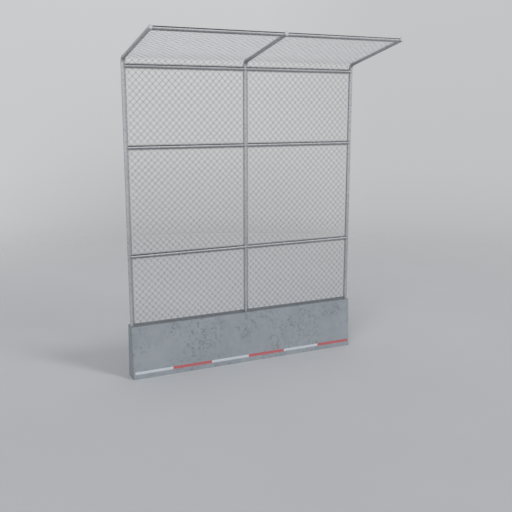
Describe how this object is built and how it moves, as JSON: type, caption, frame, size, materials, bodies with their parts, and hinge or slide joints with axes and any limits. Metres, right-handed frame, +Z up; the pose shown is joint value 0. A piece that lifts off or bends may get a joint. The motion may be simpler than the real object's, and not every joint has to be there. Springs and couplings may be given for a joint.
{
  "type": "catch fence section",
  "caption": "Catch fence section: chain link bays on bent steel tube posts that overhang the front, standing on a battered concrete barrier block with a coloured marker strip.",
  "frame": {"origin": "middle of the concrete block's underside, on the ground", "axes": "+Z up, X along the barrier, -Y towards the side that the top overhangs and that the marker strip faces"},
  "size_m": [4, 1.5718, 5.2577],
  "materials": {
    "precast_concrete": "matte",
    "white_marking": "satin",
    "red_marking": "satin",
    "anchor_plate_steel": "matte",
    "galvanised_tube": "satin",
    "end_cap": "satin",
    "mesh_wire": "satin"
  },
  "bodies": {
    "root": {"barrier_block": "precast_concrete", "marker_strip_1": "white_marking", "marker_strip_2": "red_marking", "marker_strip_3": "white_marking", "marker_strip_4": "red_marking", "marker_strip_5": "white_marking", "marker_strip_6": "red_marking", "cast_in_plate_left": "anchor_plate_steel", "post_left": "galvanised_tube", "arm_cap_left": "end_cap", "cast_in_plate_middle": "anchor_plate_steel", "post_middle": "galvanised_tube", "arm_cap_middle": "end_cap", "cast_in_plate_right": "anchor_plate_steel", "post_right": "galvanised_tube", "arm_cap_right": "end_cap", "lower_rail_left": "galvanised_tube", "lower_mesh_left": "mesh_wire", "middle_rail_left": "galvanised_tube", "middle_mesh_left": "mesh_wire", "upper_rail_left": "galvanised_tube", "upper_mesh_left": "mesh_wire", "front_rail_left": "galvanised_tube", "canopy_mesh_left": "mesh_wire", "lower_rail_right": "galvanised_tube", "lower_mesh_right": "mesh_wire", "middle_rail_right": "galvanised_tube", "middle_mesh_right": "mesh_wire", "upper_rail_right": "galvanised_tube", "upper_mesh_right": "mesh_wire", "front_rail_right": "galvanised_tube", "canopy_mesh_right": "mesh_wire"}
  },
  "joints": []
}
